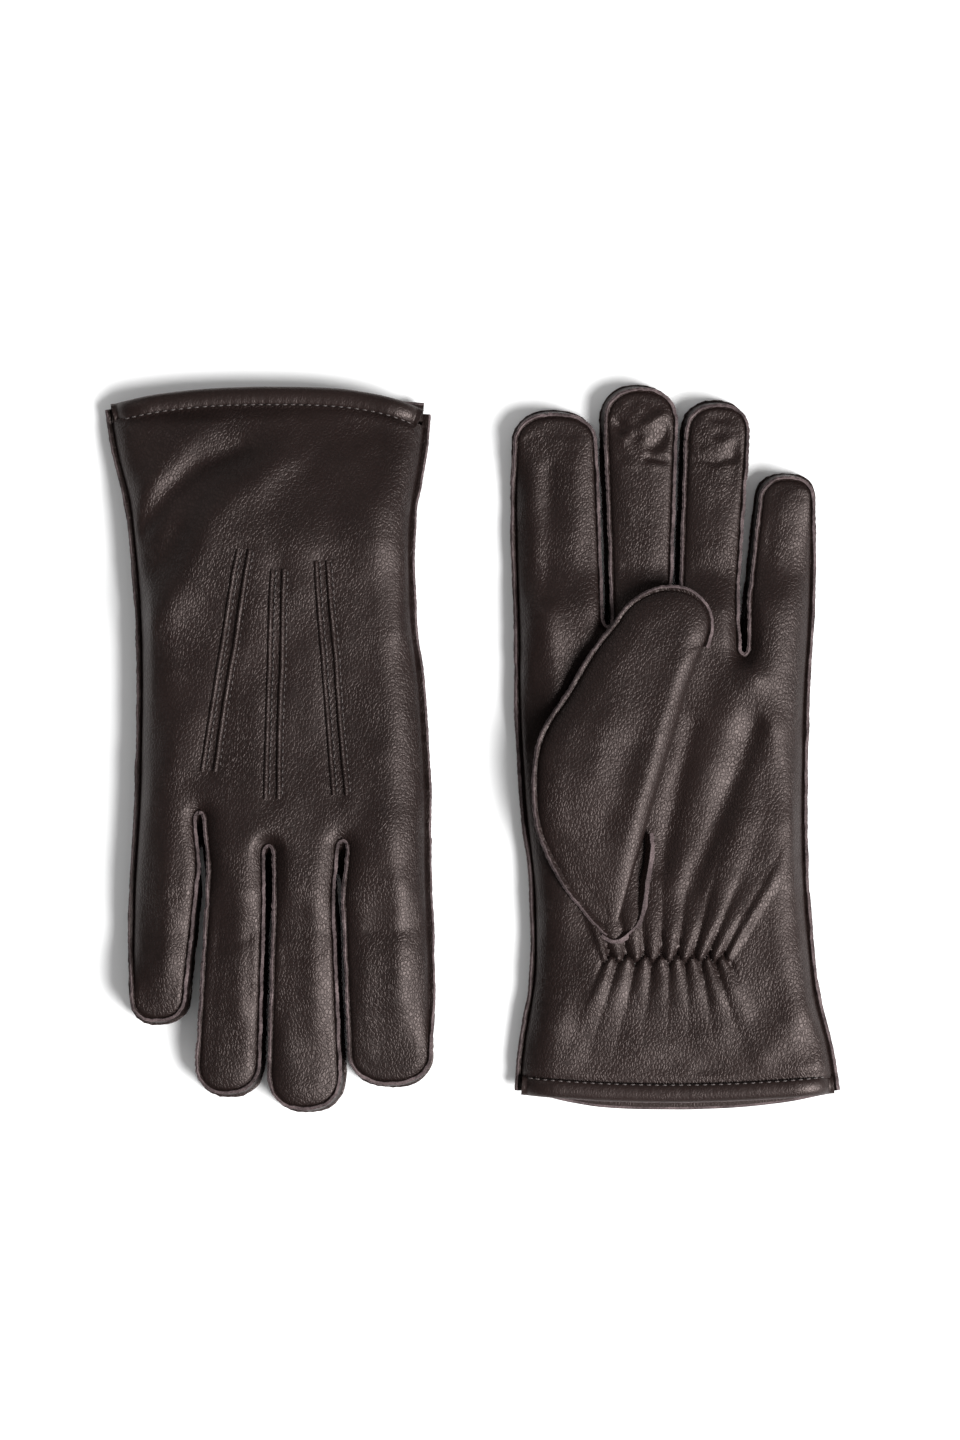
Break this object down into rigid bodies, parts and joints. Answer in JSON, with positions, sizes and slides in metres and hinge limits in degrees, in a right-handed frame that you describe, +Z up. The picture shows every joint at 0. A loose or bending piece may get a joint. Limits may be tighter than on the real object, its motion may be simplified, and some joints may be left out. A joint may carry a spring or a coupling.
{
  "type": "touchscreen gloves",
  "caption": "Pair of lined leather gloves lying flat, one palm up and one back up, with bending fingers and swinging thumbs.",
  "frame": {"origin": "centre of the pair, on the surface that the gloves lie on", "axes": "+Z up through the lying gloves, +Y towards the left glove's fingertips, +X from the right glove to the left glove"},
  "size_m": [0.2498, 0.2444, 0.0225],
  "materials": {
    "leather": "dark brown pebbled nappa leather with a soft satin sheen",
    "lining": "dark brown fine rib knit",
    "thread": "dark brown bonded thread",
    "elastic": "woven elastic band, matt",
    "touch_fabric": "grey conductive knit"
  },
  "bodies": {
    "left_hand": {"left_back_panel": "leather", "left_palm_panel": "leather", "left_crotch_strips": "leather", "left_cuff_binding": "leather", "left_hem_thread": "thread", "left_point_threads": "thread", "left_wrist_elastic": "elastic", "left_hand_lining": "lining"},
    "left_thumb_tube": {"left_thumb": "leather", "left_thumb_lining": "lining", "left_thumb_touch_pad": "touch_fabric"},
    "left_index_finger": {"left_index_back": "leather", "left_index_palm": "leather", "left_index_strips": "leather", "left_index_lining": "lining", "left_index_touch_pad": "touch_fabric"},
    "left_middle_finger": {"left_middle_back": "leather", "left_middle_palm": "leather", "left_middle_strips": "leather", "left_middle_lining": "lining"},
    "left_ring_finger": {"left_ring_back": "leather", "left_ring_palm": "leather", "left_ring_strips": "leather", "left_ring_lining": "lining"},
    "left_little_finger": {"left_little_back": "leather", "left_little_palm": "leather", "left_little_strips": "leather", "left_little_lining": "lining"},
    "right_hand": {"right_back_panel": "leather", "right_palm_panel": "leather", "right_crotch_strips": "leather", "right_cuff_binding": "leather", "right_hem_thread": "thread", "right_point_threads": "thread", "right_wrist_elastic": "elastic", "right_hand_lining": "lining"},
    "right_thumb_tube": {"right_thumb": "leather", "right_thumb_lining": "lining", "right_thumb_touch_pad": "touch_fabric"},
    "right_index_finger": {"right_index_back": "leather", "right_index_palm": "leather", "right_index_strips": "leather", "right_index_lining": "lining", "right_index_touch_pad": "touch_fabric"},
    "right_middle_finger": {"right_middle_back": "leather", "right_middle_palm": "leather", "right_middle_strips": "leather", "right_middle_lining": "lining"},
    "right_ring_finger": {"right_ring_back": "leather", "right_ring_palm": "leather", "right_ring_strips": "leather", "right_ring_lining": "lining"},
    "right_little_finger": {"right_little_back": "leather", "right_little_palm": "leather", "right_little_strips": "leather", "right_little_lining": "lining"}
  },
  "joints": [
    {"name": "right_glove_lift", "type": "slide", "parent": "left_hand", "child": "right_hand", "axis": [0, 0, 1], "range_m": [0, 0.12]},
    {"name": "left_thumb_swing", "type": "hinge", "parent": "left_hand", "child": "left_thumb_tube", "pos_m": [0.0403, -0.0345, 0.0182], "axis": [0, 0, 1], "range_deg": [0, 34]},
    {"name": "left_index_bend", "type": "hinge", "parent": "left_hand", "child": "left_index_finger", "pos_m": [0.02859, 0.063, 0.0084], "axis": [1, 0, 0], "range_deg": [0, 75]},
    {"name": "left_middle_bend", "type": "hinge", "parent": "left_hand", "child": "left_middle_finger", "pos_m": [0.05676, 0.066, 0.0084], "axis": [1, 0, 0], "range_deg": [0, 75]},
    {"name": "left_ring_bend", "type": "hinge", "parent": "left_hand", "child": "left_ring_finger", "pos_m": [0.08011, 0.063, 0.0084], "axis": [1, 0, 0], "range_deg": [0, 75]},
    {"name": "left_little_bend", "type": "hinge", "parent": "left_hand", "child": "left_little_finger", "pos_m": [0.10398, 0.05, 0.011], "axis": [1, 0, 0], "range_deg": [0, 75]},
    {"name": "right_thumb_swing", "type": "hinge", "parent": "right_hand", "child": "right_thumb_tube", "pos_m": [-0.0403, 0.0345, 0.0043], "axis": [0, 0, 1], "range_deg": [0, 34]},
    {"name": "right_index_bend", "type": "hinge", "parent": "right_hand", "child": "right_index_finger", "pos_m": [-0.02859, -0.063, 0.0173], "axis": [-1, 0, 0], "range_deg": [0, 60]},
    {"name": "right_middle_bend", "type": "hinge", "parent": "right_hand", "child": "right_middle_finger", "pos_m": [-0.05676, -0.066, 0.0173], "axis": [-1, 0, 0], "range_deg": [0, 60]},
    {"name": "right_ring_bend", "type": "hinge", "parent": "right_hand", "child": "right_ring_finger", "pos_m": [-0.08011, -0.063, 0.0173], "axis": [-1, 0, 0], "range_deg": [0, 60]},
    {"name": "right_little_bend", "type": "hinge", "parent": "right_hand", "child": "right_little_finger", "pos_m": [-0.10398, -0.05, 0.0199], "axis": [-1, 0, 0], "range_deg": [0, 60]}
  ]
}
